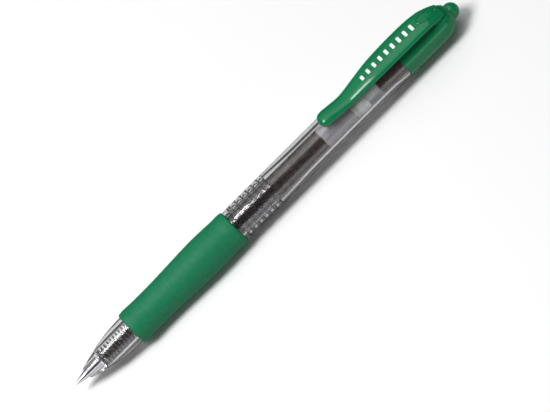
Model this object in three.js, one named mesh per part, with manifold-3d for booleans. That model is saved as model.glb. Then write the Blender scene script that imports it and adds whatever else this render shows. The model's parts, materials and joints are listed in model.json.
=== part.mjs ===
// A retractable gel pen. Its point is out. It lies along X, the writing point towards -X, the push
// button towards +X and the pocket clip on top. Millimetres, +Z up, and the lowest line of the grip
// lies on z = 0.
//
// Every shape below is drawn in the pen's own frame: a station is a distance along the axis from
// the foremost point of the writing ball, and a radius is measured from the axis.

import * as THREE from 'three';
import { mergeVertices } from 'three/addons/utils/BufferGeometryUtils.js';
import Module from 'manifold-3d';

const wasm = await Module();
wasm.setup();

// ---- stations ---------------------------------------------------------------------------------
const LENGTH = 141.8;
const NOSE_FRONT = 4.06;
const GRIP_FRONT = 20.4;
const GRIP_REAR = 59.0;
const BARREL_FRONT = 60.4;
const CAP_FRONT = 120.3;
const CAP_REAR = 138.9;
const SPRING_SEAT = 9.2;          // step inside the nose
const SPRING_SHOULDER = 30.9;     // shoulder of the refill that the spring pushes on
const TUBE_FRONT = 32.6;
const INK_REAR = 91.5;
const TUBE_REAR = 103.6;
const TAIL_FLANGE_REAR = 107.2;
const TAIL_REAR = 111.5;
const ROTOR_FRONT = 111.7;
const ROTOR_REAR = 122.6;         // root of the rotor's teeth
const CROWN_FRONT = 125.3;        // root of the button's teeth
const CROWN_REAR = 130.5;
const GUIDE_REAR = 136.0;
const CAP_WALL = 136.2;           // inner face of the cap's end wall

// ---- radii ------------------------------------------------------------------------------------
const BARREL_R = 4.9;
const BARREL_BORE_R = 3.45;
const CAP_R = 4.95;
const SPIGOT_R = 4.35;            // rear end of the barrel, inside the cap
const CAM_BORE_R = 3.95;
const GUIDE_R = 3.3;              // inner face of the guide ribs
const CAM_R = 3.2;                // bodies of the rotor and of the button's crown
const CAM_RIB_R = 3.8;            // ribs of the rotor and of the button
const STEM_R = 2.4;               // the button outside the cap
const GRIP_MAX_R = 5.57;
const SLEEVE_R = 4.0;             // front section under the grip
const FRONT_BORE_R = 3.25;
const SPRING_BORE_R = 2.65;
const NOSE_BORE_R = 1.3;
const REFILL_R = 3.05;
const INK_R = 2.55;               // bore of the refill tube
const NOZZLE_R = 1.45;
const TIP_R = 1.15;
const BALL_R = 0.35;

// ---- clearances -------------------------------------------------------------------------------
const FIT = 0.1;                  // between pieces that are pressed or seated together
const SLIP = 0.05;                // between the refill tube and what fills it

// ---- screw thread between the front section and the barrel --------------------------------------
const PITCH = 2.0;
const THREAD_START = 61.6;
const THREAD_END = 72.2;
const MALE_ROOT_R = 3.65;
const MALE_CREST_R = 4.05;
const CREST_HALF_WIDTH = 0.24;
const FLANK = 0.69;               // half width gained per millimetre below the crest
const THREAD_CLEARANCE = 0.13;
const SUNK = 0.15;                // how deep an added rib is sunk into its wall

// ---- click mechanism --------------------------------------------------------------------------
const TRAVEL = 5.5;               // from point out to point in
const STEP_ANGLE = Math.PI / 4;   // turn of the rotor over that travel
const SLOPE = TRAVEL / STEP_ANGLE;
const RIBS = 4;
const TEETH = 8;
const TOOTH_HEIGHT = 0.9;

// ---- facets -----------------------------------------------------------------------------------
const SIDES = 24;
const FIRST_ANGLE = Math.PI / SIDES;                              // puts a flat facet at the bottom
const AXIS_HEIGHT = GRIP_MAX_R * Math.cos(Math.PI / SIDES);

// A point at a station, at an angle that grows from the top by the right-hand rule about +X.
function at(station, radius, angle) {
  return new THREE.Vector3(station, -radius * Math.sin(angle), radius * Math.cos(angle));
}

// A solid of revolution. The outline of [station, radius] points runs forward inside the piece and
// backward outside it, and either starts and ends on the axis or is closed by its first point.
function turned(outline, { closed = true, sides = SIDES } = {}) {
  const loop = closed ? [...outline, outline[0]] : outline;
  const points = loop.map(([station, radius]) => new THREE.Vector2(radius, station));
  return new THREE.LatheGeometry(points, sides, FIRST_ANGLE).rotateZ(-Math.PI / 2);
}

// A closed skin over rings of points, each anticlockwise seen from the end the rings advance to.
function loft(rings) {
  const count = rings[0].length;
  const positions = rings.flat().flatMap((point) => point.toArray());
  const triangles = [];
  for (let i = 0; i < rings.length - 1; i++) {
    for (let j = 0; j < count; j++) {
      const a = i * count + j;
      const b = i * count + ((j + 1) % count);
      triangles.push(a, b, b + count, a, b + count, a + count);
    }
  }
  for (const ring of [0, rings.length - 1]) {
    const centre = rings[ring].reduce((sum, point) => sum.add(point), new THREE.Vector3());
    const middle = positions.push(...centre.divideScalar(count).toArray()) / 3 - 1;
    for (let j = 0; j < count; j++) {
      const a = ring * count + j;
      const b = ring * count + ((j + 1) % count);
      triangles.push(...(ring === 0 ? [middle, b, a] : [middle, a, b]));
    }
  }
  const geometry = new THREE.BufferGeometry();
  geometry.setAttribute('position', new THREE.Float32BufferAttribute(positions, 3));
  geometry.setIndex(triangles);
  return geometry;
}

// A manifold-3d solid with the geometry's shape.
function solid(geometry) {
  const bare = geometry.clone();
  bare.deleteAttribute('normal');
  bare.deleteAttribute('uv');
  const merged = mergeVertices(bare, 1e-4);
  const triVerts = [];
  for (let i = 0; i < merged.index.count; i += 3) {
    const [a, b, c] = merged.index.array.slice(i, i + 3);
    if (a !== b && b !== c && c !== a) triVerts.push(a, b, c);
  }
  const mesh = new wasm.Mesh({
    numProp: 3,
    vertProperties: new Float32Array(merged.attributes.position.array),
    triVerts: new Uint32Array(triVerts),
  });
  return new wasm.Manifold(mesh);
}

function geometryOf(manifold) {
  const mesh = manifold.getMesh();
  const geometry = new THREE.BufferGeometry();
  geometry.setAttribute('position', new THREE.Float32BufferAttribute(mesh.vertProperties, 3));
  geometry.setIndex(Array.from(mesh.triVerts));
  return geometry;
}

function joined(base, additions) {
  return geometryOf(additions.reduce((sum, piece) => sum.add(solid(piece)), solid(base)));
}

function cut(base, tools) {
  return geometryOf(tools.reduce((left, tool) => left.subtract(solid(tool)), solid(base)));
}

// A block between two radii and two angles. Its front and rear stations are functions of the angle
// measured from its middle.
function sector({ inner, outer, middle, half, front, rear, steps = 4 }) {
  const rings = [];
  for (let i = 0; i <= steps; i++) {
    const angle = half * ((2 * i) / steps - 1);
    rings.push([
      at(front(angle), inner, middle + angle),
      at(rear(angle), inner, middle + angle),
      at(rear(angle), outer, middle + angle),
      at(front(angle), outer, middle + angle),
    ]);
  }
  return loft(rings);
}

// Blocks spread evenly round the axis.
function ringOf(count, options, offset = 0) {
  const blocks = [];
  for (let i = 0; i < count; i++) {
    blocks.push(sector({ ...options, middle: offset + (i * 2 * Math.PI) / count }));
  }
  return blocks;
}

// A helical ridge of trapezium section. Its axial half width at a radius follows the flank.
function threadRidge({ from, to, base, crest, clearance }) {
  const halfWidth = (radius) => CREST_HALF_WIDTH + (MALE_CREST_R - radius) * FLANK + clearance;
  const steps = Math.round(((to - from) / PITCH) * SIDES);
  const firstStep = Math.round(((from - THREAD_START) / PITCH) * SIDES);
  const rings = [];
  for (let i = 0; i <= steps; i++) {
    const angle = FIRST_ANGLE + ((firstStep + i) * 2 * Math.PI) / SIDES;
    const station = THREAD_START + ((firstStep + i) * PITCH) / SIDES;
    rings.push([
      at(station - halfWidth(base), base, angle),
      at(station + halfWidth(base), base, angle),
      at(station + halfWidth(crest), crest, angle),
      at(station - halfWidth(crest), crest, angle),
    ]);
  }
  return loft(rings);
}

// ---- front section ----------------------------------------------------------------------------
function frontBarrel() {
  const collarR = 4.8;
  const collarRear = BARREL_FRONT - FIT;
  const spigotRear = 73.0;
  const springBoreRear = 29.0;
  const shell = turned([
    [NOSE_FRONT, NOSE_BORE_R],
    [NOSE_FRONT, 1.6],
    [4.4, 1.8],
    [5.9, 2.15],
    [9.1, 2.85],
    [11.2, 3.45],
    [13.3, 3.83],
    [16.5, 4.2],
    [GRIP_FRONT, 4.4],
    [GRIP_FRONT, SLEEVE_R],
    [GRIP_REAR + FIT, SLEEVE_R],
    [GRIP_REAR + FIT, collarR],
    [collarRear, collarR],
    [collarRear, MALE_ROOT_R],
    [spigotRear, MALE_ROOT_R],
    [spigotRear, FRONT_BORE_R],
    [springBoreRear + 0.6, FRONT_BORE_R],
    [springBoreRear, SPRING_BORE_R],
    [SPRING_SEAT, SPRING_BORE_R],
    [SPRING_SEAT - 0.4, NOSE_BORE_R],
  ]);
  const ridge = threadRidge({
    from: THREAD_START,
    to: THREAD_END,
    base: MALE_ROOT_R - SUNK,
    crest: MALE_CREST_R,
    clearance: 0,
  });
  return joined(shell, [ridge]);
}

function rubberGrip() {
  const front = GRIP_FRONT + FIT;
  const bore = SLEEVE_R + FIT;
  return turned([
    [front, bore],
    [front, 4.7],
    [20.9, 4.97],
    [22.3, 5.12],
    [24.5, 5.03],
    [31.0, 4.98],
    [36.5, 5.14],
    [42.9, 5.4],
    [46.2, GRIP_MAX_R],
    [49.4, GRIP_MAX_R],
    [52.4, 5.42],
    [55.5, 5.28],
    [57.1, 5.35],
    [58.5, 5.2],
    [GRIP_REAR, 4.85],
    [GRIP_REAR, bore],
  ]);
}

// A wire coil: closed turns at both ends and evenly spaced turns between them.
function returnSpring() {
  const wireR = 0.19;
  const coilR = 2.25;
  const closedFront = 1.5;
  const activeTurns = 19;
  const closedRear = 1.5;
  const closedPitch = 0.43;
  const stepsPerTurn = 12;
  const wireSides = 5;
  const first = SPRING_SEAT + wireR + FIT;
  const last = SPRING_SHOULDER - wireR - FIT;
  const activePitch = (last - first - (closedFront + closedRear) * closedPitch) / activeTurns;
  const station = (turn) => {
    const active = THREE.MathUtils.clamp(turn - closedFront, 0, activeTurns);
    return first + (turn - active) * closedPitch + active * activePitch;
  };
  const rings = [];
  const steps = (closedFront + activeTurns + closedRear) * stepsPerTurn;
  for (let i = 0; i <= steps; i++) {
    const turn = i / stepsPerTurn;
    const ring = [];
    for (let j = 0; j < wireSides; j++) {
      const around = (j * 2 * Math.PI) / wireSides;
      const radius = coilR + wireR * Math.sin(around);
      ring.push(at(station(turn) + wireR * Math.cos(around), radius, turn * 2 * Math.PI));
    }
    rings.push(ring);
  }
  return loft(rings);
}

// ---- rear section -----------------------------------------------------------------------------
function rearBarrel() {
  const threadBoreRear = 73.6;
  const minorR = MALE_ROOT_R + THREAD_CLEARANCE;
  const camBoreFront = 118.4;
  const shell = turned([
    [BARREL_FRONT, minorR],
    [BARREL_FRONT, BARREL_R - 0.15],
    [BARREL_FRONT + 0.2, BARREL_R],
    [CAP_FRONT - FIT, BARREL_R],
    [CAP_FRONT - FIT, SPIGOT_R],
    [GUIDE_REAR, SPIGOT_R],
    [GUIDE_REAR, CAM_BORE_R],
    [camBoreFront + 0.5, CAM_BORE_R],
    [camBoreFront, BARREL_BORE_R],
    [threadBoreRear + 0.4, BARREL_BORE_R],
    [threadBoreRear, minorR],
  ]);
  const guides = ringOf(RIBS, {
    inner: GUIDE_R,
    outer: CAM_BORE_R + SUNK,
    half: THREE.MathUtils.degToRad(11),
    front: (angle) => 124.0 + angle * SLOPE,
    rear: () => GUIDE_REAR,
  });
  const groove = threadRidge({
    from: BARREL_FRONT - 0.8,
    to: threadBoreRear - 0.2,
    base: minorR - SUNK,
    crest: MALE_CREST_R + THREAD_CLEARANCE,
    clearance: THREAD_CLEARANCE,
  });
  return cut(joined(shell, guides), [groove]);
}

// The cap's outside, grown by a gap. The clip's root is cut to it.
function capOutline(gap) {
  return [
    [CAP_FRONT - gap, CAP_R + gap],
    [134.4, CAP_R + gap],
    [136.4, 4.5 + gap],
    [137.7, 3.85 + gap],
    [138.5, 3.2 + gap],
    [CAP_REAR + gap, 2.8 + gap],
  ];
}

function clipCap() {
  const boreR = SPIGOT_R + FIT;
  const buttonHoleR = STEM_R + 0.15;
  return turned([
    [CAP_FRONT, boreR],
    ...capOutline(0),
    [CAP_REAR, buttonHoleR],
    [CAP_WALL, buttonHoleR],
    [CAP_WALL, boreR],
  ]);
}

// The clip's shape at its main stations. crown is the height of the middle line of the top face,
// side the height of the widest line, rim the height of the lower edges, and inner the height of
// the middle of the underside, all above the axis.
const CLIP_SHAPE = [
  { station: 93.8, half: 0.9, crown: 6.3, side: 5.75, rim: 5.45, inner: 5.35 },
  { station: 94.5, half: 1.85, crown: 6.85, side: 5.6, rim: 5.1, inner: 5.05 },
  { station: 96.2, half: 2.55, crown: 7.1, side: 5.4, rim: 4.95, inner: 5.0 },
  { station: 98.4, half: 2.55, crown: 6.75, side: 5.2, rim: 4.8, inner: 5.05 },
  { station: 102.8, half: 2.5, crown: 6.0, side: 4.95, rim: 4.65, inner: 5.15 },
  { station: 108.0, half: 2.95, crown: 6.6, side: 5.5, rim: 5.15, inner: 5.4 },
  { station: 114.0, half: 3.5, crown: 7.25, side: 6.05, rim: 5.65, inner: 5.95 },
  { station: 121.0, half: 3.7, crown: 7.5, side: 6.3, rim: 5.9, inner: 6.15 },
  { station: 128.0, half: 3.68, crown: 7.4, side: 6.2, rim: 5.85, inner: 6.0 },
  { station: 132.2, half: 3.42, crown: 6.95, side: 5.75, rim: 5.4, inner: 5.5 },
  { station: 133.6, half: 3.2, crown: 6.6, side: 5.4, rim: 4.6, inner: 4.4 },
  { station: 135.2, half: 2.85, crown: 6.0, side: 5.0, rim: 3.2, inner: 3.2 },
  { station: 137.4, half: 2.2, crown: 4.75, side: 4.2, rim: 3.1, inner: 3.1 },
];

// One section of the clip: a crowned top, two lower rims and a hollowed underside.
function clipSection({ station, half, crown, side, rim, inner }) {
  const topSteps = 8;
  const rimInset = 0.2;
  const wall = 0.75;
  const points = [];
  for (let i = 0; i <= topSteps; i++) {
    const angle = (i * Math.PI) / topSteps;
    const height = side + (crown - side) * Math.sin(angle);
    points.push(new THREE.Vector3(station, half * Math.cos(angle), height));
  }
  points.push(new THREE.Vector3(station, -half + rimInset, rim));
  points.push(new THREE.Vector3(station, -half + wall, inner));
  points.push(new THREE.Vector3(station, 0, inner));
  points.push(new THREE.Vector3(station, half - wall, inner));
  points.push(new THREE.Vector3(station, half - rimInset, rim));
  return points;
}

function clipArm() {
  const rootGap = 0.25;
  const allowance = turned([[CAP_FRONT, 0], ...capOutline(rootGap), [CAP_REAR, 0]], { closed: false });
  return cut(loft(CLIP_SHAPE.map(clipSection)), [allowance]);
}

// ---- click mechanism --------------------------------------------------------------------------
// Saw teeth round a crown. direction is +1 for teeth that stand out to the rear of their root.
function crownTeeth(root, direction) {
  const half = (0.98 * Math.PI) / TEETH;
  const tip = (angle) => root + direction * TOOTH_HEIGHT * (0.5 + (0.45 * angle) / half);
  const sunk = () => root - direction * SUNK;
  return ringOf(TEETH, {
    inner: 2.1,
    outer: CAM_R - 0.35,
    half,
    front: direction > 0 ? sunk : tip,
    rear: direction > 0 ? tip : sunk,
    steps: 2,
  });
}

function pushButton() {
  const boreR = 1.7;
  const boreRear = 136.0;
  const plunger = turned([
    [boreRear, 0],
    [boreRear, boreR],
    [CROWN_FRONT, boreR],
    [CROWN_FRONT, CAM_R - 0.05],
    [CROWN_REAR, CAM_R - 0.05],
    [CROWN_REAR, STEM_R],
    [138.9, STEM_R],
    [139.2, STEM_R - 0.1],
    [139.6, STEM_R],
    [140.3, 2.22],
    [141.0, 1.8],
    [141.5, 1.25],
    [LENGTH, 0.7],
    [LENGTH, 0],
  ], { closed: false });
  const ribs = ringOf(RIBS, {
    inner: CAM_R - SUNK,
    outer: CAM_RIB_R,
    half: THREE.MathUtils.degToRad(15),
    front: () => 127.0,
    rear: () => CROWN_REAR,
  }, STEP_ANGLE);
  return joined(plunger, [...ribs, ...crownTeeth(CROWN_FRONT, -1)]);
}

function rotorCam() {
  const stemR = 1.5;
  const stemRear = 133.5;
  const core = turned([
    [ROTOR_FRONT, 0],
    [ROTOR_FRONT, 2.7],
    [ROTOR_FRONT + 0.5, CAM_R],
    [ROTOR_REAR, CAM_R],
    [ROTOR_REAR, stemR],
    [stemRear, stemR],
    [stemRear, 0],
  ], { closed: false });
  const ribs = ringOf(RIBS, {
    inner: CAM_R - SUNK,
    outer: CAM_RIB_R,
    half: THREE.MathUtils.degToRad(10),
    front: () => 120.4,
    rear: (angle) => 123.7 + angle * SLOPE,
  });
  return joined(core, [...ribs, ...crownTeeth(ROTOR_REAR, 1)]);
}

// ---- refill -----------------------------------------------------------------------------------
function refillTube() {
  return turned([
    [TUBE_FRONT, INK_R],
    [TUBE_FRONT, REFILL_R],
    [TUBE_REAR, REFILL_R],
    [TUBE_REAR, INK_R],
  ]);
}

// A plain cylinder that fills the tube between two stations.
function filling(front, rear) {
  const radius = INK_R - SLIP;
  return turned([[front, 0], [front, radius], [rear, radius], [rear, 0]], { closed: false });
}

function refillTailPlug() {
  const ventR = 0.4;
  return turned([
    [TUBE_REAR - 1.4, ventR],
    [TUBE_REAR - 1.4, INK_R - FIT],
    [TUBE_REAR + FIT, INK_R - FIT],
    [TUBE_REAR + FIT, REFILL_R],
    [TAIL_FLANGE_REAR, REFILL_R],
    [TAIL_FLANGE_REAR, 1.7],
    [TAIL_REAR, 1.5],
    [TAIL_REAR, ventR],
  ]);
}

function tipHolder() {
  const front = 10.8;
  const socketRear = 13.4;
  const spigotRear = 38.1;
  const channelR = 0.7;
  return turned([
    [front, TIP_R + FIT],
    [front, NOZZLE_R - 0.1],
    [front + 0.3, NOZZLE_R],
    [SPRING_SHOULDER, NOZZLE_R + 0.1],
    [SPRING_SHOULDER, REFILL_R],
    [TUBE_FRONT - FIT, REFILL_R],
    [TUBE_FRONT - FIT, INK_R - FIT],
    [spigotRear, INK_R - FIT],
    [spigotRear, channelR],
    [socketRear, channelR],
    [socketRear, TIP_R + FIT],
  ]);
}

// A cone with a socket that is closed in just enough to keep the ball.
function writingTip() {
  const rim = 0.2;
  const shankRear = 13.2;
  return turned([
    [rim, BALL_R - 0.015],
    [rim, 0.42],
    [NOSE_FRONT, TIP_R],
    [shankRear, TIP_R],
    [shankRear, 0.6],
    [2.2, 0.6],
    [1.6, 0.2],
    [0.78, 0.2],
    [0.72, BALL_R + 0.03],
    [0.33, BALL_R + 0.03],
  ]);
}

function writingBall() {
  return new THREE.SphereGeometry(BALL_R, 16, 10).translate(BALL_R, 0, 0);
}

// ---- assembly ---------------------------------------------------------------------------------
const pen = new THREE.Group();
pen.position.set(-LENGTH / 2, 0, AXIS_HEIGHT);

function add(name, geometry, color, roughness, more = {}) {
  const material = new THREE.MeshStandardMaterial({ color, roughness, metalness: 0, ...more });
  const mesh = new THREE.Mesh(geometry, material);
  mesh.name = name;
  pen.add(mesh);
}

const CLEAR = { transparent: true, opacity: 0.35 };

add('front_barrel', frontBarrel(), 0xdfe3e6, 0.08, CLEAR);
add('rubber_grip', rubberGrip(), 0x2f7a52, 0.75);
add('return_spring', returnSpring(), 0xb4b8bc, 0.3, { metalness: 1 });
add('rear_barrel', rearBarrel(), 0xdfe3e6, 0.08, CLEAR);
add('clip_cap', clipCap(), 0x0d7a4b, 0.2);
add('clip_arm', clipArm(), 0x0d7a4b, 0.2);
add('push_button', pushButton(), 0x1b7a4f, 0.25);
add('rotor_cam', rotorCam(), 0x4a3d38, 0.45);
add('refill_tube', refillTube(), 0xd8d4cf, 0.35, CLEAR);
add('ink_column', filling(38.3, INK_REAR), 0x1d1310, 0.3);
add('ink_follower', filling(INK_REAR + 0.2, 101.9), 0xa6abb0, 0.4);
add('refill_tail_plug', refillTailPlug(), 0xe6eae8, 0.4);
add('tip_holder', tipHolder(), 0x2b2826, 0.4);
add('writing_tip', writingTip(), 0xc4c6c8, 0.25, { metalness: 1 });
add('writing_ball', writingBall(), 0x8e9194, 0.2, { metalness: 1 });

export default pen;
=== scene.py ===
"""The looks of a retractable gel pen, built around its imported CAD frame.

Shapes are drawn in the pen's own frame, in millimetres: a station is a distance along the axis from
the foremost point of the writing ball, and a radius is measured from the axis. at() turns them into
metres in the row frame.
"""

import json
import math

import bpy
from mathutils import Matrix, Vector


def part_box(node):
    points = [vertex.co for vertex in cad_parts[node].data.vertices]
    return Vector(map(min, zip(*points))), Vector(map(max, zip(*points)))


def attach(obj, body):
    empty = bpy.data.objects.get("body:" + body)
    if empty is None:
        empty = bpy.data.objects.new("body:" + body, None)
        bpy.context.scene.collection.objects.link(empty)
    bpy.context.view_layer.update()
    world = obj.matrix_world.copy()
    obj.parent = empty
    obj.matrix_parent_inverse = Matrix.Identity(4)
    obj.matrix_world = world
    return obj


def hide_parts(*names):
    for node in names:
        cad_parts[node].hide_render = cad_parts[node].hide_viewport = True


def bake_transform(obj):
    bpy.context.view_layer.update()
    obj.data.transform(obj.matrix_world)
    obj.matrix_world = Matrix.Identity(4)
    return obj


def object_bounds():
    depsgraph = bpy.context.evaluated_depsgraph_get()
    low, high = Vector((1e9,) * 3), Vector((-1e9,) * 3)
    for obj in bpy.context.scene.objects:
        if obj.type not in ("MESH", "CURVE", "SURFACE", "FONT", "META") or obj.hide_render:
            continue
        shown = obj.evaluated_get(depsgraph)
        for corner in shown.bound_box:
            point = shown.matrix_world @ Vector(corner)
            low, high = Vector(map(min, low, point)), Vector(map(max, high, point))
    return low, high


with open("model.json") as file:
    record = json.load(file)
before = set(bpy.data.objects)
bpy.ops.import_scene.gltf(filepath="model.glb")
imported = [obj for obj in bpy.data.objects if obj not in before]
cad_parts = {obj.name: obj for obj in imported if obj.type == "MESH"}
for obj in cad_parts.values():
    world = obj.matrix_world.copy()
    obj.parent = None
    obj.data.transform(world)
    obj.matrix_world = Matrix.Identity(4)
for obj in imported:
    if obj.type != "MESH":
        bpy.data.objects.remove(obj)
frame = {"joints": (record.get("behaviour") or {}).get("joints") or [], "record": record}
cad_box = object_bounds()
record = frame["record"]
joints = {joint["name"]: joint for joint in frame["joints"]}

# ---- places taken from the frame ----------------------------------------------------------------
MM = 0.001
TIP_X = cad_box[0].x
AXIS_Z = joints["rotor_turn"]["pos_m"][2]


def ends(node):
    """Stations of a CAD node's front and rear ends."""
    low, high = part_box(node)
    return (low.x - TIP_X) / MM, (high.x - TIP_X) / MM


NOSE_FRONT, SPIGOT_REAR = ends("front_barrel")
GRIP_FRONT, GRIP_REAR = ends("rubber_grip")
SPRING_FRONT, SPRING_REAR = ends("return_spring")
BARREL_FRONT, BARREL_REAR = ends("rear_barrel")
CAP_FRONT, CAP_REAR = ends("clip_cap")
CLIP_FRONT = ends("clip_arm")[0]
CROWN_TIPS, LENGTH = ends("push_button")
ROTOR_FRONT, ROTOR_STEM_REAR = ends("rotor_cam")
TUBE_FRONT, TUBE_REAR = ends("refill_tube")
INK_FRONT, INK_REAR = ends("ink_column")
GREASE_FRONT = ends("ink_follower")[0]
PLUG_FRONT, PLUG_REAR = ends("refill_tail_plug")
HOLDER_FRONT, HOLDER_REAR = ends("tip_holder")
CONE_FRONT, CONE_REAR = ends("writing_tip")

# ---- radii, as in the CAD part ------------------------------------------------------------------
BARREL_R = 4.9
BARREL_BORE_R = 3.45
CAP_R = 4.95
SPIGOT_R = 4.35
CAM_BORE_R = 3.95
GUIDE_R = 3.3
CAM_R = 3.2
CAM_RIB_R = 3.8
STEM_R = 2.4
SLEEVE_R = 4.0
FRONT_BORE_R = 3.25
SPRING_BORE_R = 2.65
NOSE_BORE_R = 1.3
REFILL_R = 3.05
INK_R = 2.55
NOZZLE_R = 1.45
TIP_R = 1.15
BALL_R = 0.35

# ---- screw thread: the CAD part's helix, with a slanted ridge of its own ------------------------
PITCH = 2.0
THREAD_START = 61.6
THREAD_TURNS = 5.3
THREAD_ANGLE = math.pi / 24
MALE_ROOT_R = 3.65
MALE_CREST_R = 4.05
CREST_HALF_WIDTH = 0.45
CREST_FALL = 0.24                    # how much lower the ridge is on its front side
FLANK = 0.14
RUN_OUT_TURNS = 0.35                 # over which the ridge fades out at each end
INNER_LAND_R = 3.98
INNER_GROOVE_DEPTH = 0.25
GROOVE_SHARPNESS = 6                 # the power of a cosine that draws the groove
THREAD_STEP = 0.1

# ---- click mechanism, as in the CAD part --------------------------------------------------------
CAM_SLOPE = 5.5 / (math.pi / 4)      # rise of a cam face per radian
RIBS = 4
TEETH = 8
TOOTH_HEIGHT = 0.9

# ---- cap and clip -------------------------------------------------------------------------------
CAP_OUTSIDE = [
    (CAP_FRONT + 0.12, CAP_R), (124.0, CAP_R), (130.0, CAP_R), (133.2, CAP_R), (134.8, 4.87),
    (136.4, 4.5), (137.6, 3.94), (138.4, 3.32), (138.75, 2.95),
]

# The clip: station, half width, and heights above the axis of the crown, of the widest line, of
# the lower rims and of the middle of the underside.
CLIP_ROWS = [
    (95.6, 2.5, 7.08, 5.55, 4.98, 5.0),
    (96.9, 2.6, 7.1, 5.4, 4.95, 5.0),
    (98.6, 2.55, 6.72, 5.2, 4.8, 5.05),
    (102.8, 2.5, 6.0, 4.95, 4.65, 5.15),
    (108.0, 2.95, 6.6, 5.5, 5.15, 5.4),
    (114.0, 3.5, 7.25, 6.05, 5.65, 5.95),
    (121.0, 3.7, 7.5, 6.3, 5.9, 6.15),
    (128.0, 3.68, 7.4, 6.2, 5.85, 6.0),
    (132.2, 3.42, 6.95, 5.75, 5.4, 5.5),
    (133.6, 3.2, 6.6, 5.4, 4.6, 4.75),
    (135.2, 2.85, 6.0, 5.0, 3.4, 4.6),
    (137.4, 2.2, 4.75, 4.2, 3.3, 3.8),
]
CLIP_BALL_MIDDLE = CLIP_ROWS[0][0]
CLIP_EDGE = 0.16                     # how far the rims stand in from the widest line
CLIP_RIM = 0.46                      # the rims' width

# ---- what fills the refill's tube ---------------------------------------------------------------
WETTED_R = INK_R + 0.05              # a filling touches the tube's wall, with no air between

# ---- mesh fineness ------------------------------------------------------------------------------
SIDES = 96
SHARP_ANGLE = math.radians(32)
CORNER_STEPS = 4

# ---- camera, lights and floor -------------------------------------------------------------------
VIEW_ELEVATION = math.radians(55)
VIEW_DISTANCE = 1.0077               # metres
LENS = 250
PEN_TURN = math.radians(44.9)        # the pen's angle above the picture's level line
RIGHT_OF_PEN = 2.24 * MM             # where the lens is aimed, from the pen's middle
BELOW_PEN = 3.06 * MM

# Each softbox: its lean off the vertical towards the writing point and its tilt towards +Y, in
# degrees, its distance, its length along the pen and its width, in metres, and its radiance.
SOFTBOXES = {
    "key": (22, 0, 0.6, 0.32, 0.17, 16.0),
    "top_fill": (0, 4, 2.0, 2.2, 1.36, 1.5),
    "back_fill": (0, 38, 2.0, 2.8, 1.2, 0.5),
    "front_fill": (0, -82, 0.6, 0.9, 0.15, 1.5),
}

FLOOR_HALF = 2.0
FLOOR_HEIGHT = -0.02 * MM
FLOOR_PAINTED_LIGHT_EDGE = 16 * MM            # the floor's painted pool of light, up to here beyond the pen
FLOOR_PAINTED_SHADE_EDGE = 35 * MM            # and its painted shade, near black, from here on
# Painted light and shade on the floor, seen only by rays other than the camera's: a grey pool near the
# pen, near black beyond it.
FLOOR_PAINTED_LIGHT_GREY = 0.62
FLOOR_PAINTED_SHADE_GREY = 0.05
FLOOR_WHITES = ((0.9, 0.9, 0.9), (0.92, 0.92, 0.92))
ROOM_STRENGTH = 0.09
BACKDROP_STRENGTH = 0.95


# ---- geometry helpers ---------------------------------------------------------------------------
def at(station, radius, angle=0.0):
    """The row frame's point at a station and radius. The angle grows from the top about +X."""
    y = -radius * math.sin(angle)
    z = radius * math.cos(angle)
    return Vector((TIP_X + station * MM, y * MM, AXIS_Z + z * MM))


def value(number_or_function, angle):
    """A number as it is, or a function of the angle at that angle."""
    return number_or_function(angle) if callable(number_or_function) else number_or_function


def span(start, end, step):
    """Evenly spaced numbers from start to end, about a step apart."""
    count = max(1, round(abs(end - start) / step))
    return [start + (end - start) * i / count for i in range(count + 1)]


def smoothstep(t):
    """A smooth rise from 0 to 1 as t goes from 0 to 1."""
    t = min(1.0, max(0.0, t))
    return t * t * (3 - 2 * t)


def spline(rows, step):
    """Catmull-Rom through rows of numbers. The first number is the one that is stepped along."""
    result = []
    for i in range(len(rows) - 1):
        before = rows[max(i - 1, 0)]
        start, end = rows[i], rows[i + 1]
        after = rows[min(i + 2, len(rows) - 1)]
        count = max(1, math.ceil(abs(end[0] - start[0]) / step))
        for k in range(count):
            t = k / count
            result.append(tuple(
                0.5 * (2 * b + (c - a) * t + (2 * a - 5 * b + 4 * c - d) * t ** 2
                       + (3 * b - a - 3 * c + d) * t ** 3)
                for a, b, c, d in zip(before, start, end, after)))
    result.append(tuple(rows[-1]))
    return result


def rounded(corners, closed=True):
    """An outline from (station, radius) corners. A third number rounds a corner by that length."""
    result = []
    for i, corner in enumerate(corners):
        if len(corner) < 3 or (not closed and i in (0, len(corners) - 1)):
            result.append(corner[:2])
            continue
        here = Vector(corner[:2])
        before = (Vector(corners[i - 1][:2]) - here).normalized()
        after = (Vector(corners[(i + 1) % len(corners)][:2]) - here).normalized()
        first, last = here + before * corner[2], here + after * corner[2]
        for k in range(CORNER_STEPS + 1):
            t = k / CORNER_STEPS
            result.append(tuple(first * (1 - t) ** 2 + here * 2 * t * (1 - t) + last * t * t))
    return result


def skin(rings, closed):
    """Vertices and faces over rings of points. A ring of one point closes an end."""
    vertices = [point for ring in rings for point in ring]
    starts = [sum(len(ring) for ring in rings[:i]) for i in range(len(rings))]
    faces = []
    last = len(rings) if closed else len(rings) - 1
    for i in range(last):
        k = (i + 1) % len(rings)
        here, there = starts[i], starts[k]
        count = max(len(rings[i]), len(rings[k]))
        for j in range(count):
            following = (j + 1) % count
            if len(rings[i]) == 1:
                faces.append((here, there + following, there + j))
            elif len(rings[k]) == 1:
                faces.append((here + j, here + following, there))
            else:
                faces.append((here + j, here + following, there + following, there + j))
    return vertices, faces


def turned(outline, closed=True, sides=SIDES):
    """A solid of revolution. The outline runs rearward outside the piece and forward inside it.
    Its stations and radii may be functions of the angle."""
    rings = []
    for station, radius in outline:
        if not callable(radius) and radius == 0:
            rings.append([at(station, 0)])
            continue
        angles = [2 * math.pi * j / sides for j in range(sides)]
        rings.append([at(value(station, a), value(radius, a), a) for a in angles])
    return skin(rings, closed)


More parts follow.
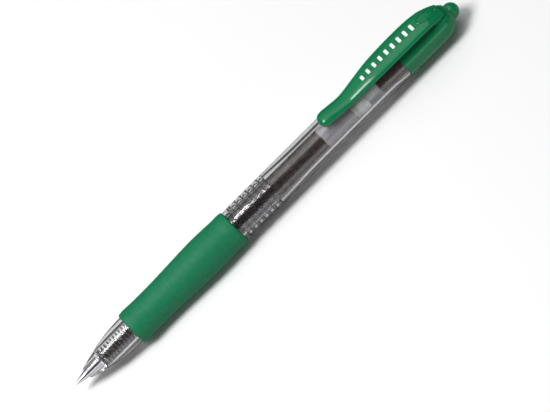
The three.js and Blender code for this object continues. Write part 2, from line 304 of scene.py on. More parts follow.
def window(angle, count, half, offset=0.0):
    """The angle from the middle of the nearest of some evenly spread windows, or None outside."""
    pitch = 2 * math.pi / count
    nearest = (angle - offset + pitch / 2) % pitch - pitch / 2
    return nearest if abs(nearest) <= half else None


def thread(start, end):
    """Outline entries for a threaded stretch, whose ridge fades out at its two ends."""
    def radius_at(station):
        def radius(angle):
            turn = ((angle - THREAD_ANGLE) / (2 * math.pi)) % 1.0
            turn += round((station - THREAD_START) / PITCH - turn)
            off_crest = station - THREAD_START - turn * PITCH
            rise = (CREST_HALF_WIDTH - abs(off_crest)) / FLANK
            crest = MALE_CREST_R - CREST_FALL * (0.5 - off_crest / (2 * CREST_HALF_WIDTH))
            inside = min(turn, THREAD_TURNS - turn) / RUN_OUT_TURNS + 1
            height = (crest - MALE_ROOT_R) * smoothstep(rise)
            return MALE_ROOT_R + height * smoothstep(inside)
        return radius

    return [(station, radius_at(station)) for station in span(start, end, THREAD_STEP)]


def inner_thread(start, end):
    """Outline entries for the threaded bore: a round groove that follows the ridge."""
    def radius_at(station):
        along = math.pi * (station - THREAD_START) / PITCH

        def radius(angle):
            wave = abs(math.cos(along - (angle - THREAD_ANGLE) / 2))
            return INNER_LAND_R + INNER_GROOVE_DEPTH * wave ** GROOVE_SHARPNESS
        return radius

    return [(station, radius_at(station)) for station in span(start, end, THREAD_STEP)]


# ---- pieces -------------------------------------------------------------------------------------
BODY = {node: body for body, nodes in record["behaviour"]["bodies"].items() for node in nodes}
SLOT = {subpart["node"]: subpart["material_slot"] for subpart in record["subparts"]}


def piece(name, node, shape, materials, replaces=True):
    """A mesh object in a CAD node's material. It replaces the node, unless it only decorates it."""
    vertices, faces = shape
    mesh = bpy.data.meshes.new(name)
    mesh.from_pydata(vertices, [], faces)
    mesh.shade_smooth()
    mesh.set_sharp_from_angle(angle=SHARP_ANGLE)
    mesh.materials.append(materials[SLOT[node]])
    obj = bpy.data.objects.new(name, mesh)
    bpy.context.scene.collection.objects.link(obj)
    if replaces:
        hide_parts(node)
    return obj


def front_shell():
    """The clear front section: nose, sleeve under the grip, collar and threaded spigot."""
    collar_r = 4.8
    collar_front = GRIP_REAR + 0.1
    collar_rear = BARREL_FRONT - 0.1
    spring_bore_rear = 29.0
    seat = SPRING_FRONT - 0.1
    nose = spline([
        (NOSE_FRONT + 0.12, 1.66), (4.9, 1.88), (5.9, 2.14), (7.5, 2.52), (9.1, 2.87),
        (11.2, 3.44), (13.3, 3.82), (16.5, 4.2), (GRIP_FRONT - 0.1, 4.4),
    ], step=0.3)
    front = rounded([
        (NOSE_FRONT, NOSE_BORE_R, 0.08), (NOSE_FRONT, 1.6, 0.1), nose[0],
    ], closed=False)
    sleeve = rounded([
        nose[-1], (GRIP_FRONT - 0.1, SLEEVE_R), (collar_front, SLEEVE_R),
        (collar_front, collar_r, 0.15), (collar_rear, collar_r, 0.15),
        (collar_rear, MALE_ROOT_R), (collar_rear + 0.4, MALE_ROOT_R),
    ], closed=False)[1:]
    bore = rounded([
        (SPIGOT_REAR - 0.4, MALE_ROOT_R), (SPIGOT_REAR - 0.3, MALE_ROOT_R, 0.05),
        (SPIGOT_REAR, 3.35, 0.05),
        (SPIGOT_REAR, FRONT_BORE_R, 0.05), (spring_bore_rear + 0.6, FRONT_BORE_R, 0.1),
        (spring_bore_rear, SPRING_BORE_R, 0.1), (seat, SPRING_BORE_R, 0.1),
        (seat - 0.4, NOSE_BORE_R, 0.1), (NOSE_FRONT + 0.2, NOSE_BORE_R),
    ], closed=False)
    ridge = thread(collar_rear + 0.5, SPIGOT_REAR - 0.5)
    return turned([*front, *nose[1:], *sleeve, *ridge, *bore])


def grip_sleeve():
    """The soft grip, with four faint ring grooves."""
    bore = SLEEVE_R + 0.1
    grooves = (26.8, 35.3, 36.8, 44.4)
    groove_half = 0.28
    groove_depth = 0.05
    swell = spline([
        (GRIP_FRONT + 0.45, 4.99), (22.2, 5.11), (23.9, 5.05), (26.0, 4.98), (31.0, 4.97),
        (36.5, 5.14), (42.9, 5.4), (46.6, 5.51), (49.0, 5.51), (52.4, 5.42), (55.5, 5.28),
        (57.2, 5.34), (GRIP_REAR - 0.5, 5.21),
    ], step=0.1)
    outside = []
    for station, radius in swell:
        near = min(abs(station - groove) for groove in grooves)
        dip = groove_depth * (0.5 + 0.5 * math.cos(math.pi * min(1, near / groove_half)))
        outside.append((station, radius - dip))
    front = rounded([(GRIP_FRONT, bore, 0.1), (GRIP_FRONT, 4.82, 0.32), outside[0]], closed=False)
    rear = rounded([
        outside[-1], (GRIP_REAR, 5.05, 0.35), (GRIP_REAR, bore, 0.1), (GRIP_REAR - 0.3, bore),
    ], closed=False)
    return turned([*front, *outside[1:], *rear[1:]])


def spring_coil():
    """The return spring: closed turns at both ends and evenly spaced turns between them."""
    wire_r = 0.19
    coil_r = 2.25
    closed_turns = 1.5
    active_turns = 19
    closed_pitch = 0.43
    steps_per_turn = 30
    wire_sides = 10
    first = SPRING_FRONT + wire_r
    last = SPRING_REAR - wire_r
    active_pitch = (last - first - 2 * closed_turns * closed_pitch) / active_turns
    turns = active_turns + 2 * closed_turns
    rings = []
    for i in range(int(turns * steps_per_turn) + 1):
        turn = i / steps_per_turn
        active = min(active_turns, max(0.0, turn - closed_turns))
        middle = first + (turn - active) * closed_pitch + active * active_pitch
        ring = []
        for j in range(wire_sides):
            around = 2 * math.pi * j / wire_sides
            radius = coil_r + wire_r * math.sin(around)
            ring.append(at(middle + wire_r * math.cos(around), radius, 2 * math.pi * turn))
        rings.append(ring)
    caps = [[sum(ring, Vector()) / wire_sides] for ring in (rings[0], rings[-1])]
    return skin([caps[0], *rings, caps[1]], closed=False)


def rear_shell():
    """The clear rear section, with its inner thread, the refill's bore and four guide ribs."""
    thread_rear = 73.4
    thread_taper = 10.6
    cam_bore_front = 114.6
    cam_bore_taper = 4.3
    rib_half = math.radians(11)
    rib_front = 124.0

    def rib_radius(station):
        def radius(angle):
            nearest = window(angle, RIBS, rib_half)
            on_rib = nearest is not None and station > rib_front + nearest * CAM_SLOPE
            return GUIDE_R if on_rib else CAM_BORE_R
        return radius

    outside = rounded([
        (BARREL_FRONT, INNER_LAND_R + 0.3), (BARREL_FRONT, BARREL_R, 0.2),
        (CAP_FRONT - 0.1, BARREL_R, 0.1), (CAP_FRONT - 0.1, SPIGOT_R), (BARREL_REAR, SPIGOT_R, 0.1),
        (BARREL_REAR, CAM_BORE_R),
    ], closed=False)
    stations = span(BARREL_REAR - 0.02, rib_front - 2.4, step=0.2)
    ribs = [(station, rib_radius(station)) for station in stations]
    inside = rounded([
        (rib_front - 3, CAM_BORE_R), (cam_bore_front + cam_bore_taper, CAM_BORE_R, 1.0),
        (cam_bore_front, BARREL_BORE_R, 1.5), (thread_rear + thread_taper, BARREL_BORE_R, 3.0),
        (thread_rear, INNER_LAND_R),
    ], closed=False)
    return turned([*outside, *ribs, *inside, *inner_thread(thread_rear - 0.1, BARREL_FRONT + 0.3)])


def cap_shell():
    """The opaque cap over the click mechanism."""
    bore_r = SPIGOT_R + 0.1
    hole_r = STEM_R + 0.15
    rim_r = 2.72
    roof = 136.2
    outside = spline(CAP_OUTSIDE, step=0.3)
    front = rounded([(CAP_FRONT, bore_r, 0.08), (CAP_FRONT, CAP_R, 0.1), outside[0]], closed=False)
    inside = rounded([
        outside[-1], (CAP_REAR, rim_r), (CAP_REAR, hole_r, 0.08), (roof, hole_r),
        (roof, bore_r - 0.2), (roof - 0.3, bore_r), (CAP_FRONT + 0.3, bore_r),
    ], closed=False)
    return turned([*front, *outside[1:], *inside[1:]])


def clip_top(row, across):
    """Height of the clip's top face at a share of its half width."""
    _, _, crown, side, _, _ = row
    return side + (crown - side) * math.sqrt(max(0.0, 1 - across * across))


def clip_section(row):
    """One section: a crowned top, thin rounded rims and a hollowed underside."""
    _, half, crown, side, rim, inner = row
    crown_steps = 32
    chamfer = 0.12
    rim_outside = half - CLIP_EDGE
    rim_inside = rim_outside - CLIP_RIM
    inner_chamfer = chamfer if inner > rim else 0
    points = []
    for i in range(crown_steps + 1):
        angle = math.pi * i / crown_steps
        points.append((half * math.cos(angle), side + (crown - side) * math.sin(angle)))
    lower = [
        (-half, side - 0.1), (-rim_outside, rim + chamfer), (-rim_outside + chamfer, rim),
        (-rim_inside - chamfer, rim), (-rim_inside, rim + inner_chamfer),
        (-rim_inside + 0.25, inner - 0.02), (-rim_inside + 0.6, inner),
    ]
    mirrored = [(-across, height) for across, height in reversed(lower)]
    return points + lower + [(0.0, inner)] + mirrored


def clip_point(station, across, height):
    """The row frame's point at a station, a distance towards +Y and a height above the axis."""
    return Vector((TIP_X + station * MM, across * MM, AXIS_Z + height * MM))


def clip_blade():
    """The pocket clip, with a round front end and a root that runs into the cap."""
    rows = spline(CLIP_ROWS, step=0.35)
    middle_height = 5.85
    root_height = 0.5
    ball_steps = 12
    ball_length = CLIP_BALL_MIDDLE - CLIP_FRONT
    rings = [[clip_point(CLIP_FRONT, 0, middle_height)]]
    first = clip_section(rows[0])
    for i in range(1, ball_steps):
        turn = math.pi / 2 * i / ball_steps
        station = CLIP_BALL_MIDDLE - ball_length * math.cos(turn)
        scale = math.sin(turn)
        rings.append([
            clip_point(station, across * scale, middle_height + (height - middle_height) * scale)
            for across, height in first])
    for row in rows:
        rings.append([clip_point(row[0], *point) for point in clip_section(row)])
    rings.append([clip_point(rows[-1][0], 0, rows[-1][5] + root_height)])
    return skin(rings, closed=False)


def clip_row(station):
    """The clip's numbers at any station."""
    rows = spline(CLIP_ROWS, step=0.1)
    return min(rows, key=lambda row: abs(row[0] - station))


def clip_patch(stations, halves, lift, sink):
    """A thin closed pad on the clip's top face, over stations that each have a half width."""
    columns = 8
    top, bottom = [], []
    for station, half in zip(stations, halves):
        row = clip_row(station)
        for side, height in ((top, lift), (bottom, -sink)):
            line = []
            for j in range(columns + 1):
                across = half * (2 * j / columns - 1)
                line.append(clip_point(station, across, clip_top(row, across / row[1]) + height))
            side.append(line)
    rings = [upper + lower[::-1] for upper, lower in zip(top, bottom)]
    caps = [[sum(ring, Vector()) / len(ring)] for ring in (rings[0], rings[-1])]
    return skin([caps[0], *rings, caps[1]], closed=False)


def combined(shapes):
    """Several closed shapes as one list of vertices and faces."""
    vertices, faces = [], []
    for more_vertices, more_faces in shapes:
        start = len(vertices)
        vertices += more_vertices
        faces += [tuple(start + index for index in face) for face in more_faces]
    return vertices, faces


def clip_stripes():
    """A plain printed pattern: a row of equal bars that widens with the clip."""
    first = 110.2
    last = 128.6
    count = 9
    bar_half = 0.45
    first_half_width = 0.74
    widening = 0.3
    corner = 0.18
    bars = []
    for i in range(count):
        middle = first + (last - first) * i / (count - 1)
        half = first_half_width + widening * i / (count - 1)
        stations = [middle - bar_half, middle - bar_half + corner, middle + bar_half - corner,
                    middle + bar_half]
        halves = [half - corner, half, half, half - corner]
        bars.append(clip_patch(stations, halves, lift=0.02, sink=0.1))
    return combined(bars)


def clip_ring():
    """A plain raised oval ring on the clip's root."""
    middle = 133.5
    half_length = 3.1
    half_width = 1.5
    wire_r = 0.16
    steps = 64
    wire_sides = 8
    rings = []
    for i in range(steps):
        angle = 2 * math.pi * i / steps
        station = middle + half_length * math.cos(angle)
        across = half_width * math.sin(angle)
        row = clip_row(station)
        centre = clip_point(station, across, clip_top(row, across / row[1]))
        outward = Vector((math.cos(angle), math.sin(angle), 0)).normalized()
        ring = []
        for j in range(wire_sides):
            around = 2 * math.pi * j / wire_sides
            lift = Vector((0, 0, math.cos(around)))
            ring.append(centre + (outward * math.sin(around) + lift) * wire_r * MM)
        rings.append(ring[::-1])
    return skin(rings, closed=True)


def tooth_station(root, direction, angle):
    """The end of a crown of saw teeth at an angle."""
    half = math.pi / TEETH
    nearest = window(angle, TEETH, half) or 0.0
    return root + direction * TOOTH_HEIGHT * (0.5 + 0.45 * nearest / half)


def button_cap():
    """The push button with its inner crown and guide ribs."""
    bore_r = 1.7
    crown_front = CROWN_TIPS + TOOTH_HEIGHT
    crown_r = CAM_R - 0.05
    crown_rear = 130.5
    rib_front = 127.0
    rib_half = math.radians(15)
    bore_end = 136.0
    neck_groove = 139.1
    dome_middle = 139.35
    dome_steps = 15

    def rib(angle):
        nearest = window(angle, RIBS, rib_half, math.pi / RIBS)
        return crown_r if nearest is None else CAM_RIB_R

    def teeth(angle):
        return tooth_station(crown_front, -1, angle)

    dome_length = LENGTH - dome_middle
    dome = []
    for i in range(1, dome_steps):
        turn = math.pi / 2 * i / dome_steps
        dome.append((dome_middle + dome_length * math.sin(turn), STEM_R * math.cos(turn)))
    neck = rounded([
        (neck_groove - 0.4, STEM_R), (neck_groove - 0.15, STEM_R, 0.06),
        (neck_groove, STEM_R - 0.08, 0.06), (neck_groove + 0.15, STEM_R, 0.06),
        (dome_middle, STEM_R),
    ], closed=False)
    return turned([
        (bore_end, 0), (bore_end, bore_r), (teeth, bore_r), (teeth, crown_r - 0.3),
        (crown_front, crown_r - 0.3), (crown_front, crown_r), (rib_front, crown_r),
        (rib_front, rib), (crown_rear, rib), (crown_rear, STEM_R), *neck, *dome, (LENGTH, 0),
    ], closed=False)


def cam_rotor():
    """The rotor that the button's crown turns and the guide ribs catch."""
    tooth_root = 122.6
    stem_r = 1.5
    groove_front = 113.0
    groove_rear = 114.2
    groove_r = CAM_R - 0.2
    rib_front = 120.4
    rib_rear = 123.7
    rib_half = math.radians(10)

    def rib(station):
        def radius(angle):
            nearest = window(angle, RIBS, rib_half)
            inside = nearest is not None and station <= rib_rear + nearest * CAM_SLOPE
            return CAM_RIB_R if inside else CAM_R
        return radius

    def teeth(angle):
        return tooth_station(tooth_root, 1, angle)

    collar = rounded([
        (ROTOR_FRONT, 2.0), (ROTOR_FRONT, 2.75, 0.1), (ROTOR_FRONT + 0.5, CAM_R, 0.15),
        (groove_front, CAM_R, 0.1), (groove_front + 0.2, groove_r, 0.1),
        (groove_rear - 0.2, groove_r, 0.1), (groove_rear, CAM_R, 0.1), (rib_front, CAM_R),
    ], closed=False)
    ribs = [(station, rib(station)) for station in span(rib_front, tooth_root, step=0.2)]
    stem = rounded([
        (tooth_root, 2.0), (tooth_root, stem_r), (ROTOR_STEM_REAR, stem_r, 0.3),
        (ROTOR_STEM_REAR, 0.8),
    ], closed=False)
    return turned([
        (ROTOR_FRONT, 0), *collar, *ribs, (tooth_root, CAM_R - 0.3), (teeth, CAM_R - 0.35),
        (teeth, 2.1), *stem, (ROTOR_STEM_REAR, 0),
    ], closed=False)


def refill_shell():
    """The refill's translucent tube."""
    return turned(rounded([
        (TUBE_FRONT, INK_R, 0.08), (TUBE_FRONT, REFILL_R, 0.1),
        (TUBE_REAR, REFILL_R, 0.1), (TUBE_REAR, INK_R, 0.08),
    ]))


def ink_fill():
    """The ink, which meets the grease in a shallow bowl."""
    bowl = 0.5
    long_side = [(station, WETTED_R) for station in (INK_FRONT, 50.0, 70.0)]
    surface = [(INK_REAR - bowl * (1 - (r / WETTED_R) ** 2), r)
               for r in span(WETTED_R, 0, step=0.3)[:-1]]
    return turned([(INK_FRONT, 0), *long_side, *surface, (INK_REAR - bowl, 0)], closed=False)


def grease_fill():
    """The grease plug that follows the ink down the tube."""
    rear = PLUG_FRONT - 0.1
    return turned(rounded([
        (GREASE_FRONT, 0), (GREASE_FRONT, WETTED_R, 0.2), (rear, WETTED_R, 0.1), (rear, 0),
    ], closed=False), closed=False)


def tail_plug():
    """The white vented plug in the refill's tail."""
    vent_r = 0.4
    flange_rear = 107.2
    return turned(rounded([
        (PLUG_FRONT, vent_r), (PLUG_FRONT, WETTED_R, 0.3), (TUBE_REAR + 0.1, WETTED_R),
        (TUBE_REAR + 0.1, REFILL_R, 0.15), (flange_rear - 1.2, REFILL_R, 0.05),
        (flange_rear - 1.0, REFILL_R - 0.12, 0.05), (flange_rear - 0.7, REFILL_R - 0.12, 0.05),
        (flange_rear - 0.5, REFILL_R, 0.05), (flange_rear, REFILL_R, 0.3),
        (flange_rear, 1.7, 0.15), (PLUG_REAR, 1.5, 0.15), (PLUG_REAR, vent_r),
    ]))


def nozzle():
    """The dark holder between the refill tube and the writing tip."""
    socket_rear = 13.4
    shoulder = SPRING_REAR + 0.1
    channel_r = 0.7
    return turned(rounded([
        (HOLDER_FRONT, TIP_R + 0.1, 0.05), (HOLDER_FRONT, NOZZLE_R, 0.25),
        (16.0, NOZZLE_R), (shoulder, NOZZLE_R + 0.1, 0.1), (shoulder, REFILL_R, 0.15),
        (TUBE_FRONT - 0.1, REFILL_R, 0.1), (TUBE_FRONT - 0.1, INK_R - 0.1, 0.05),
        (HOLDER_REAR, INK_R - 0.1, 0.2), (HOLDER_REAR, channel_r, 0.1),
        (socket_rear, channel_r, 0.05), (socket_rear, TIP_R + 0.1, 0.05),
    ]))


def point_cone():
    """The turned metal tip, closed in round the ball."""
    rim_r = 0.42
    socket_r = BALL_R + 0.03
    channel_r = 0.2
    bore_r = 0.6
    return turned(rounded([
        (CONE_FRONT, BALL_R - 0.015), (CONE_FRONT, rim_r, 0.03), (0.9, 0.52, 0.1),
        (NOSE_FRONT - 0.3, TIP_R, 0.3), (CONE_REAR, TIP_R, 0.05), (CONE_REAR, bore_r),
        (2.2, bore_r), (1.6, channel_r), (0.78, channel_r), (0.72, socket_r), (0.33, socket_r),
    ]), sides=64)


def point_ball():
    """The writing ball."""
    steps = 20
    arc = [math.pi * i / steps for i in range(1, steps)]
    return turned([
        (0, 0), *[(BALL_R - BALL_R * math.cos(a), BALL_R * math.sin(a)) for a in arc],
        (2 * BALL_R, 0),
    ], closed=False, sides=40)


# ---- materials ----------------------------------------------------------------------------------
# A noise's scale is in waves per metre. Its stretch along X, Y and Z is below 1 where marks run long.
MICRON = 1e-6
EVEN = (1, 1, 1)
ROUND_THE_AXIS = (4, 0.5, 0.5)


def shader_of(name, **sockets):
    """A new material's node tree and its main shader, with plain values on the shader's sockets."""
    material = bpy.data.materials.new(name)
    material.use_nodes = True
    shader = material.node_tree.nodes["Principled BSDF"]
    for socket, setting in sockets.items():
        shader.inputs[socket.replace("_", " ")].default_value = setting
    return material, material.node_tree, shader


def noise(tree, scale, detail=2.0, stretch=EVEN):
    """Noise in the object's own metres."""
    place = tree.nodes.new("ShaderNodeTexCoord")
    mapping = tree.nodes.new("ShaderNodeMapping")
    mapping.inputs["Scale"].default_value = stretch
    texture = tree.nodes.new("ShaderNodeTexNoise")
    texture.inputs["Scale"].default_value = scale
    texture.inputs["Detail"].default_value = detail
    tree.links.new(place.outputs["Object"], mapping.inputs["Vector"])
    tree.links.new(mapping.outputs["Vector"], texture.inputs["Vector"])
    return texture.outputs["Fac"]


def spread(tree, factor, low, high):
    """The noise's middle range stretched over low to high."""
    node = tree.nodes.new("ShaderNodeMapRange")
    node.inputs["From Min"].default_value = 0.3
    node.inputs["From Max"].default_value = 0.7
    node.inputs["To Min"].default_value = low
    node.inputs["To Max"].default_value = high
    tree.links.new(factor, node.inputs["Value"])
    return node.outputs["Result"]


def tint(tree, factor, dark, light):
    """A colour between two, by a factor."""
    node = tree.nodes.new("ShaderNodeMix")
    node.data_type = "RGBA"
    node.inputs["A"].default_value = (*dark, 1)
    node.inputs["B"].default_value = (*light, 1)
    tree.links.new(spread(tree, factor, 0.0, 1.0), node.inputs["Factor"])
    return node.outputs["Result"]


def bump(tree, shader, height, distance):
    """Fine relief from a noise, as deep as the distance in metres."""
    node = tree.nodes.new("ShaderNodeBump")
    node.inputs["Distance"].default_value = distance
    tree.links.new(height, node.inputs["Height"])
    tree.links.new(node.outputs["Normal"], shader.inputs["Normal"])


def clear_plastic():
    """Polished clear plastic of both barrels."""
    material, tree, shader = shader_of("clear_plastic", Transmission_Weight=1.0, IOR=1.49)
    tree.links.new(tint(tree, noise(tree, 60), (0.93, 0.93, 0.95), (0.97, 0.97, 0.98)),
                   shader.inputs["Base Color"])
    tree.links.new(spread(tree, noise(tree, 900, 4), 0.01, 0.05), shader.inputs["Roughness"])
    bump(tree, shader, noise(tree, 350, 1), 2 * MICRON)
    return material


def grip_rubber():
    """Matt green rubber."""
    material, tree, shader = shader_of("grip_rubber", IOR=1.45, Specular_IOR_Level=0.3)
    colour = tint(tree, noise(tree, 700, 5), (0.005, 0.165, 0.07), (0.008, 0.19, 0.085))
    tree.links.new(colour, shader.inputs["Base Color"])
    tree.links.new(spread(tree, noise(tree, 3000, 3), 0.5, 0.68), shader.inputs["Roughness"])
    bump(tree, shader, noise(tree, 7000, 4), 12 * MICRON)
    return material


def green_plastic():
    """Glossy green plastic of the cap, the clip and the button."""
    material, tree, shader = shader_of("green_plastic", IOR=1.5, Specular_IOR_Level=0.36)
    colour = tint(tree, noise(tree, 120, 3), (0.002, 0.17, 0.062), (0.0035, 0.195, 0.074))
    tree.links.new(colour, shader.inputs["Base Color"])
    tree.links.new(spread(tree, noise(tree, 1200, 4), 0.08, 0.14), shader.inputs["Roughness"])
    bump(tree, shader, noise(tree, 600, 2), 4 * MICRON)
    return material


def dark_plastic():
    """Satin dark plastic of the rotor and the tip's holder."""
    material, tree, shader = shader_of("dark_plastic", IOR=1.5)
    colour = tint(tree, noise(tree, 300, 4), (0.07, 0.042, 0.033), (0.11, 0.07, 0.056))
    tree.links.new(colour, shader.inputs["Base Color"])
    tree.links.new(spread(tree, noise(tree, 1500, 4), 0.35, 0.5), shader.inputs["Roughness"])
    bump(tree, shader, noise(tree, 2500, 3), 5 * MICRON)
    return material


def tube_plastic():
    """Milky tube plastic. Its low refractive index keeps what fills the tube from looking too dark."""
    material, tree, shader = shader_of("tube_plastic", Transmission_Weight=0.96, IOR=1.2)
    drawn_out = (0.2, 1, 1)
    colour = tint(tree, noise(tree, 90, 3, drawn_out), (0.88, 0.83, 0.8), (0.93, 0.88, 0.85))
    tree.links.new(colour, shader.inputs["Base Color"])
    tree.links.new(spread(tree, noise(tree, 1800, 4), 0.16, 0.26), shader.inputs["Roughness"])
    return material


def ink():
    """Dark brown ink."""
    material, tree, shader = shader_of("ink", IOR=1.4)
    streaks = noise(tree, 150, 3, (0.3, 1, 1))
    colour = tint(tree, streaks, (0.034, 0.01, 0.007), (0.045, 0.014, 0.01))
    tree.links.new(colour, shader.inputs["Base Color"])
    tree.links.new(spread(tree, noise(tree, 600), 0.2, 0.35), shader.inputs["Roughness"])
    return material


def grease():
    """Frosted grease."""
    material, tree, shader = shader_of("grease", IOR=1.45)
    colour = tint(tree, noise(tree, 400, 4), (0.62, 0.65, 0.72), (0.74, 0.77, 0.84))
    tree.links.new(colour, shader.inputs["Base Color"])
    tree.links.new(spread(tree, noise(tree, 900), 0.35, 0.5), shader.inputs["Roughness"])
    bump(tree, shader, noise(tree, 700, 3), 8 * MICRON)
    return material


def white_plastic():
    """White plastic of the tail plug and the clip's bars."""
    material, tree, shader = shader_of("white_plastic", IOR=1.5)
    colour = tint(tree, noise(tree, 200, 3), (0.84, 0.92, 0.89), (0.9, 0.97, 0.94))
    tree.links.new(colour, shader.inputs["Base Color"])
    tree.links.new(spread(tree, noise(tree, 1500, 3), 0.3, 0.45), shader.inputs["Roughness"])
    bump(tree, shader, noise(tree, 2500, 3), 4 * MICRON)
    return material


def metal(name, dark, light, rough_low, rough_high, stretch):
    """Bare metal with fine drawn or turned marks. The stretch sets which way they run."""
    material, tree, shader = shader_of(name, Metallic=1.0)
    tree.links.new(tint(tree, noise(tree, 900, 4, stretch), dark, light),
                   shader.inputs["Base Color"])
    tree.links.new(spread(tree, noise(tree, 2500, 3, stretch), rough_low, rough_high),
                   shader.inputs["Roughness"])
    bump(tree, shader, noise(tree, 4000, 3, stretch), 3 * MICRON)
    return material


def all_materials():
    """Materials by the record's slot names."""
    return {
        "clear_plastic": clear_plastic(),
        "grip_rubber": grip_rubber(),
        "green_plastic": green_plastic(),
        "dark_plastic": dark_plastic(),
        "tube_plastic": tube_plastic(),
        "ink": ink(),
        "grease": grease(),
        "white_plastic": white_plastic(),
        "spring_steel": metal("spring_steel", (0.2, 0.2, 0.21), (0.3, 0.3, 0.315), 0.45, 0.6, EVEN),
        "tip_metal": metal("tip_metal", (0.6, 0.61, 0.63), (0.8, 0.81, 0.83), 0.1, 0.18,
                           ROUND_THE_AXIS),
        "ball_metal": metal("ball_metal", (0.42, 0.42, 0.44), (0.55, 0.55, 0.57), 0.1, 0.2, EVEN),
    }


# ---- assembly -----------------------------------------------------------------------------------
def build(materials):
    """Every piece. Those that ride go on the body that carries them; the spring and the clip's pieces
    stay unparented in the row frame.
    """
    riding = [
        ("front_shell", "front_barrel", front_shell),
        ("grip_sleeve", "rubber_grip", grip_sleeve),
        ("rear_shell", "rear_barrel", rear_shell),
        ("cap_shell", "clip_cap", cap_shell),
        ("button_cap", "push_button", button_cap),
        ("cam_rotor", "rotor_cam", cam_rotor),
        ("refill_shell", "refill_tube", refill_shell),
        ("ink_fill", "ink_column", ink_fill),
        ("grease_fill", "ink_follower", grease_fill),
        ("tail_plug", "refill_tail_plug", tail_plug),
        ("nozzle", "tip_holder", nozzle),
        ("point_cone", "writing_tip", point_cone),
        ("point_ball", "writing_ball", point_ball),
    ]
    for name, node, shape in riding:
        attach(piece(name, node, shape(), materials), BODY[node])

    spring = piece("spring_coil", "return_spring", spring_coil(), materials)
    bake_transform(spring)

    clip = piece("clip_blade", "clip_arm", clip_blade(), materials)
    ring = piece("clip_ring", "clip_arm", clip_ring(), materials, replaces=False)
    stripes = piece("clip_stripes", "clip_arm", clip_stripes(), materials, replaces=False)
    stripes.data.materials[0] = materials["white_plastic"]
    for bending in (clip, ring, stripes):
        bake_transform(bending)


# ---- stage, light and camera --------------------------------------------------------------------
def camera():
    """A long lens high above the floor, rolled so that the pen runs up to the right."""
    forward = Vector((0, math.cos(VIEW_ELEVATION), -math.sin(VIEW_ELEVATION)))
    level_up = Vector((0, math.sin(VIEW_ELEVATION), math.cos(VIEW_ELEVATION)))
    along = Vector((1, 0, 0))
    right = math.cos(PEN_TURN) * along - math.sin(PEN_TURN) * level_up
    up = math.sin(PEN_TURN) * along + math.cos(PEN_TURN) * level_up
    target = at(LENGTH / 2, 0) + RIGHT_OF_PEN * right - BELOW_PEN * up
    data = bpy.data.cameras.new("camera")
    data.lens = LENS
    data.clip_start, data.clip_end = 0.01, 20
    obj = bpy.data.objects.new("camera", data)
    bpy.context.scene.collection.objects.link(obj)
    axes = Matrix((right, up, -forward)).transposed()
    obj.matrix_world = Matrix.Translation(target - forward * VIEW_DISTANCE) @ axes.to_4x4()
    bpy.context.scene.camera = obj


def softbox(name, lean, tilt, distance, length, width, radiance):
    """A softbox aimed at the pen's middle."""
    off_x, off_y = -math.tan(math.radians(lean)), math.tan(math.radians(tilt))
    direction = Vector((off_x, off_y, 1)).normalized()
    across = direction.cross(Vector((1, 0, 0))).normalized()
    along = across.cross(direction)
    data = bpy.data.lights.new(name, "AREA")
    data.shape = "RECTANGLE"
    data.size, data.size_y = length, width
    data.energy = radiance * math.pi * width * length
    obj = bpy.data.objects.new(name, data)
    bpy.context.scene.collection.objects.link(obj)
    axes = Matrix((along, across, direction)).transposed()
    obj.matrix_world = Matrix.Translation(direction * distance) @ axes.to_4x4()


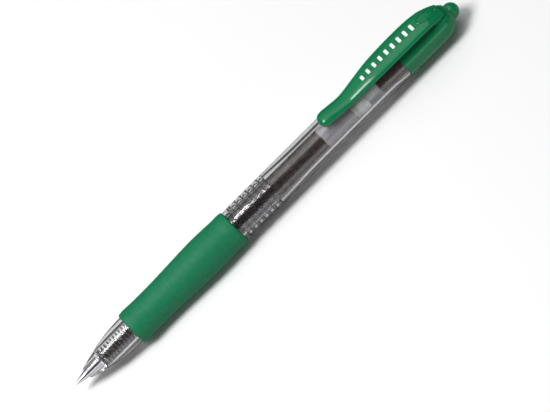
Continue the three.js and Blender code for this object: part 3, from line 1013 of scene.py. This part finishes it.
def floor_paper():
    """White paper to the camera. In the clear plastic it shows as a grey table with painted light and
    shade: a lighter pool round the pen that darkens to near black beyond it."""
    material, tree, shader = shader_of("floor_white", Roughness=0.9, Specular_IOR_Level=0.0)
    place = tree.nodes.new("ShaderNodeTexCoord")
    parts = tree.nodes.new("ShaderNodeSeparateXYZ")
    # painted light and shade: the floor's grey falls from a lit pool near the pen to near black beyond
    # it
    grey = tree.nodes.new("ShaderNodeMapRange")
    grey.interpolation_type = "SMOOTHSTEP"
    grey.inputs["From Min"].default_value = FLOOR_PAINTED_SHADE_EDGE
    grey.inputs["From Max"].default_value = FLOOR_PAINTED_LIGHT_EDGE
    grey.inputs["To Min"].default_value = FLOOR_PAINTED_SHADE_GREY
    grey.inputs["To Max"].default_value = FLOOR_PAINTED_LIGHT_GREY
    path = tree.nodes.new("ShaderNodeLightPath")
    choice = tree.nodes.new("ShaderNodeMix")
    choice.data_type = "RGBA"
    tree.links.new(place.outputs["Object"], parts.inputs["Vector"])
    tree.links.new(parts.outputs["Y"], grey.inputs["Value"])
    tree.links.new(grey.outputs["Result"], choice.inputs["A"])
    tree.links.new(tint(tree, noise(tree, 3), *FLOOR_WHITES), choice.inputs["B"])
    tree.links.new(path.outputs["Is Camera Ray"], choice.inputs["Factor"])
    tree.links.new(choice.outputs["Result"], shader.inputs["Base Color"])
    return material


def studio_walls():
    """A dim room round the pen, behind a pale backdrop."""
    world = bpy.data.worlds.new("world")
    world.use_nodes = True
    tree = world.node_tree
    path = tree.nodes.new("ShaderNodeLightPath")
    choice = tree.nodes.new("ShaderNodeMix")
    choice.inputs["A"].default_value = ROOM_STRENGTH
    choice.inputs["B"].default_value = BACKDROP_STRENGTH
    tree.links.new(path.outputs["Is Camera Ray"], choice.inputs["Factor"])
    tree.links.new(choice.outputs["Result"], tree.nodes["Background"].inputs["Strength"])
    tree.nodes["Background"].inputs["Color"].default_value = (1, 1, 1, 1)
    return world


def stage():
    """A white floor and soft light from above and from low in front."""
    mesh = bpy.data.meshes.new("floor")
    corners = [(x * FLOOR_HALF, y * FLOOR_HALF, FLOOR_HEIGHT)
               for x, y in ((-1, -1), (1, -1), (1, 1), (-1, 1))]
    mesh.from_pydata(corners, [], [(0, 1, 2, 3)])
    mesh.materials.append(floor_paper())
    floor = bpy.data.objects.new("floor", mesh)
    bpy.context.scene.collection.objects.link(floor)

    bpy.context.scene.world = studio_walls()
    bpy.context.scene.view_settings.view_transform = "Standard"
    for name, settings in SOFTBOXES.items():
        softbox(name, *settings)


camera()
stage()
build(all_materials())
